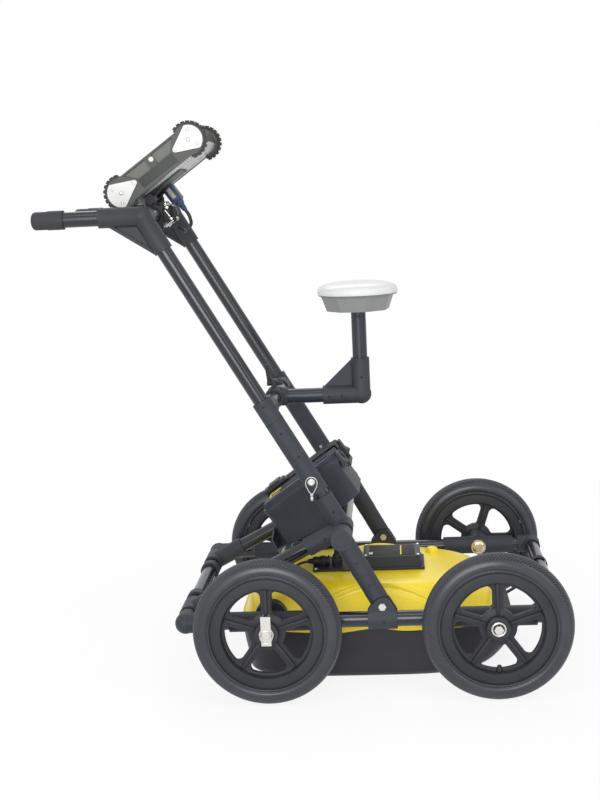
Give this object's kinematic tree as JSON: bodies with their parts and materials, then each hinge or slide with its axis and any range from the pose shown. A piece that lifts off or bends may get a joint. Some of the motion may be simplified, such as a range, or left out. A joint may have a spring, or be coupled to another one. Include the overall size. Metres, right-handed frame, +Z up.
{
  "type": "ground penetrating radar cart",
  "caption": "Push cart of bolted tubes on spoked wheels that drags a sealed radar sensor on a skid, with a tilting display, a battery case and a receiver on a mast.",
  "frame": {"origin": "on the ground below the middle of the cart", "axes": "+X forward, +Y to the cart's left, +Z up"},
  "size_m": [1.062, 0.7326, 1.1708],
  "materials": {
    "tube": "gloss",
    "fitting": "satin",
    "rubber": "matte",
    "tyre": "matte",
    "steel": "brushed",
    "yellow": "gloss",
    "case": "textured",
    "casting": "painted",
    "plate": "satin",
    "grey": "satin",
    "white": "gloss",
    "screen": "gloss",
    "button": "satin",
    "hood": "satin",
    "webbing": "woven",
    "cord": "satin",
    "tray": "satin",
    "silver": "satin",
    "core": "matte"
  },
  "bodies": {
    "chassis": {"side_rails": "tube", "cross_tubes": "tube", "corner_elbows": "fitting", "axle_sleeves": "fitting", "frame_bolts": "steel", "pivot_brackets": "fitting", "leg_fittings": "fitting", "upright_sockets": "fitting", "rear_arms": "tube", "rear_fittings": "fitting", "upright_tubes": "tube", "handle_sleeves": "fitting", "handle_elbows": "fitting", "handle_tubes": "tube", "grips": "rubber", "battery_tray": "tray", "display_clamp": "fitting", "display_cable": "cord", "odometer": "fitting", "case_base": "case", "battery_pack": "core"},
    "receiver": {"receiver_tee": "fitting", "receiver_tubes": "tube", "receiver_elbow": "fitting", "receiver_body": "grey", "receiver_dome": "white"},
    "receiver_lever": {"clamp_lever": "fitting"},
    "display": {"display_yoke": "fitting", "display_case": "silver", "display_screen": "screen", "end_castings": "casting", "corner_plates": "plate", "bumpers": "rubber", "cable_plug": "hood"},
    "display_knob": {"tilt_knob": "steel"},
    "display_button": {"power_button": "button"},
    "left_pin": {"left_release_pin": "steel"},
    "right_pin": {"right_release_pin": "steel"},
    "lid": {"case_lid": "case", "lid_strap": "webbing"},
    "left_lid_latch": {"left_latch": "case"},
    "right_lid_latch": {"right_latch": "case"},
    "carry_handle": {"case_handle": "case"},
    "sensor": {"sensor_shell": "yellow", "skid_tub": "fitting", "control_module": "fitting", "connector_plate": "fitting", "sensor_plugs": "fitting", "antenna_unit": "core", "pull_straps": "webbing", "sensor_cables": "cord"},
    "right_rear_wheel": {"right_rear_rim": "fitting", "right_rear_tyre": "tyre", "drive_dog": "steel"},
    "left_rear_wheel": {"left_rear_rim": "fitting", "left_rear_tyre": "tyre"},
    "right_front_wheel": {"right_front_rim": "fitting", "right_front_tyre": "tyre"},
    "left_front_wheel": {"left_front_rim": "fitting", "left_front_tyre": "tyre"}
  },
  "joints": [
    {"name": "right_rear_roll", "type": "hinge", "parent": "chassis", "child": "right_rear_wheel", "pos_m": [-0.07797, -0.338, 0.15], "axis": [0, 1, 0], "continuous": true},
    {"name": "left_rear_roll", "type": "hinge", "parent": "chassis", "child": "left_rear_wheel", "pos_m": [-0.07797, 0.338, 0.15], "axis": [0, 1, 0], "continuous": true},
    {"name": "right_front_roll", "type": "hinge", "parent": "chassis", "child": "right_front_wheel", "pos_m": [0.38103, -0.338, 0.15], "axis": [0, 1, 0], "continuous": true},
    {"name": "left_front_roll", "type": "hinge", "parent": "chassis", "child": "left_front_wheel", "pos_m": [0.38103, 0.338, 0.15], "axis": [0, 1, 0], "continuous": true},
    {"name": "display_tilt", "type": "hinge", "parent": "chassis", "child": "display", "pos_m": [-0.30702, 0, 1.014], "axis": [0, -1, 0], "range_deg": [-25, 15], "deforming": ["display_cable"]},
    {"name": "display_knob_turn", "type": "hinge", "parent": "chassis", "child": "display_knob", "pos_m": [-0.30702, 0, 1.014], "axis": [0, 1, 0], "range_deg": [0, 270]},
    {"name": "power_button_press", "type": "slide", "parent": "display", "child": "display_button", "axis": [0.5736, 0, -0.8192], "range_m": [0, 0.0015], "stiffness_N_per_m": 600, "springref_m": -0.0005},
    {"name": "receiver_swing", "type": "hinge", "parent": "chassis", "child": "receiver", "pos_m": [-0.06947, 0, 0.57301], "axis": [0, -1, 0], "range_deg": [-20, 60]},
    {"name": "receiver_lever_turn", "type": "hinge", "parent": "receiver", "child": "receiver_lever", "pos_m": [-0.06947, 0, 0.60301], "axis": [1, 0, 0], "range_deg": [-80, 80]},
    {"name": "right_pin_pull", "type": "slide", "parent": "chassis", "child": "right_pin", "axis": [0, -1, 0], "range_m": [0, 0.05]},
    {"name": "left_pin_pull", "type": "slide", "parent": "chassis", "child": "left_pin", "axis": [0, 1, 0], "range_m": [0, 0.05]},
    {"name": "lid_open", "type": "hinge", "parent": "chassis", "child": "lid", "pos_m": [-0.09623, 0, 0.34297], "axis": [0, -1, 0], "range_deg": [0, 100]},
    {"name": "right_latch_open", "type": "hinge", "parent": "lid", "child": "right_lid_latch", "pos_m": [0.06347, -0.0646, 0.45626], "axis": [0, -1, 0], "range_deg": [0, 90]},
    {"name": "left_latch_open", "type": "hinge", "parent": "lid", "child": "left_lid_latch", "pos_m": [0.06347, 0.0646, 0.45626], "axis": [0, -1, 0], "range_deg": [0, 90]},
    {"name": "carry_handle_lift", "type": "hinge", "parent": "chassis", "child": "carry_handle", "pos_m": [0.07072, 0, 0.44852], "axis": [0, -1, 0], "range_deg": [0, 90]},
    {"name": "sensor_float", "type": "slide", "parent": "chassis", "child": "sensor", "axis": [0, 0, 1], "range_m": [0, 0.02], "deforming": ["pull_straps", "sensor_cables"]}
  ]
}
